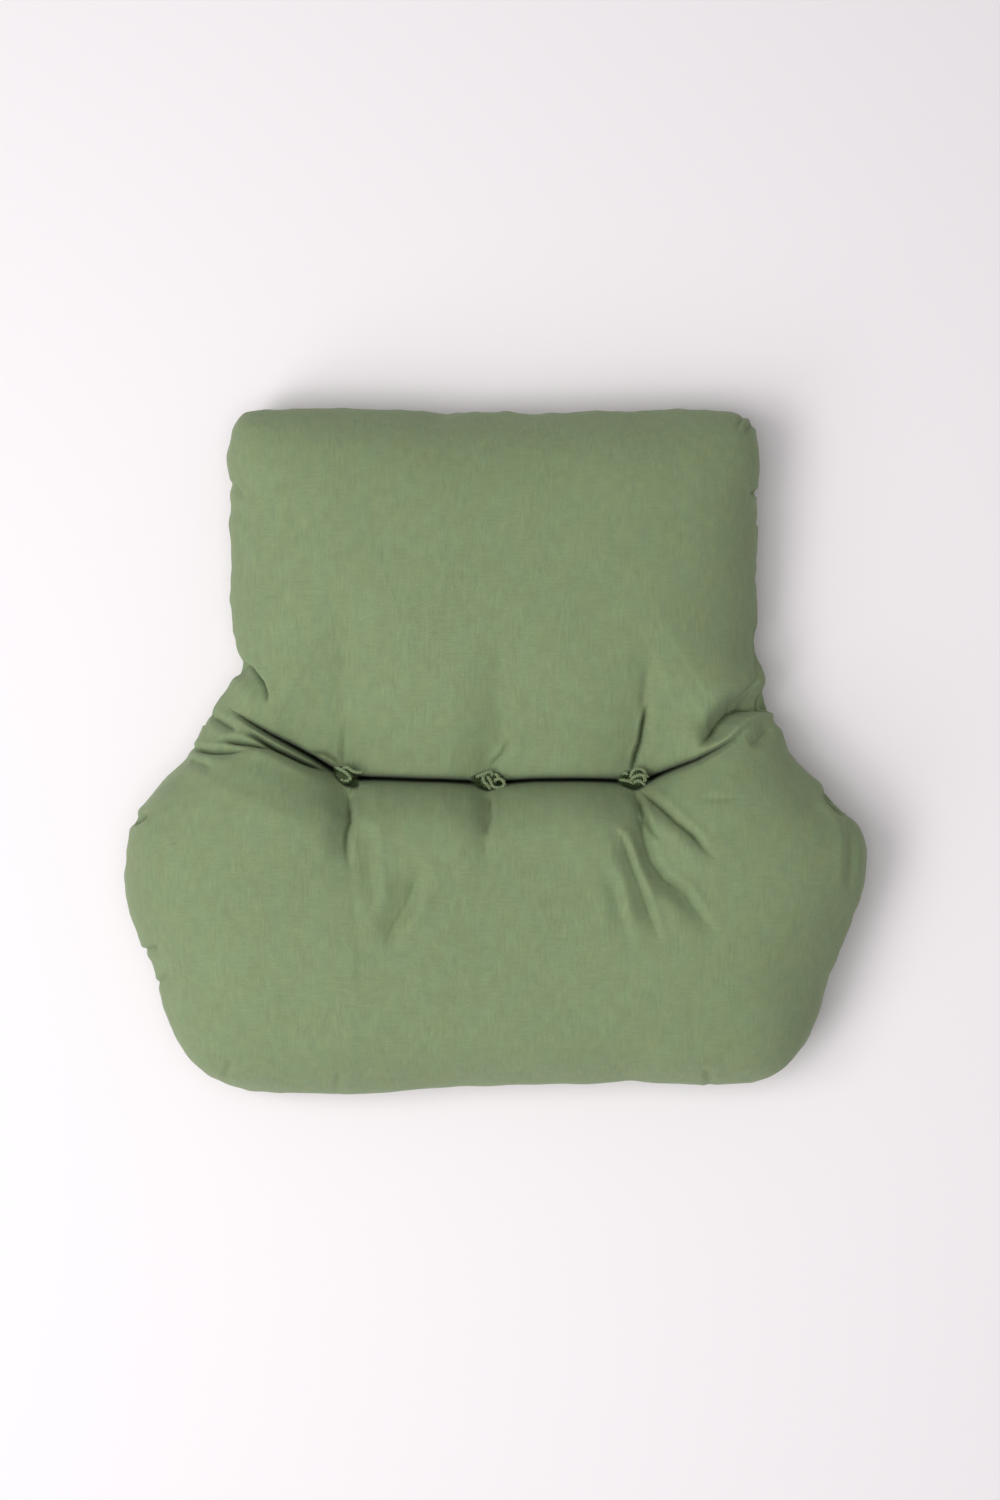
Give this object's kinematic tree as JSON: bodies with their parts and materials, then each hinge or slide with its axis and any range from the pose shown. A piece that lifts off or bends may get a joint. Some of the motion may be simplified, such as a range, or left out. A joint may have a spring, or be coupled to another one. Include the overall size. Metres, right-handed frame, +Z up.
{
  "type": "tufted chair back support cushion",
  "caption": "Filled cotton back support cushion: a block for the chair's back above a wider half with two wings, drawn in at the waist by knotted ties.",
  "frame": {"origin": "On the surface the cushion lies on, under the middle of its outline.", "axes": "+X is to the right across both wings, +Y runs from the winged half to the block's top edge, +Z is up out of the tufted face."},
  "size_m": [0.6212, 0.5732, 0.1183],
  "materials": {
    "sage_cotton_drill": "matt woven cotton drill, sage green",
    "sage_tie_cord": "matt twisted cotton, sage green"
  },
  "bodies": {
    "root": {"cushion": "sage_cotton_drill", "knot_left": "sage_tie_cord", "knot_middle": "sage_tie_cord", "knot_right": "sage_tie_cord"}
  },
  "joints": []
}
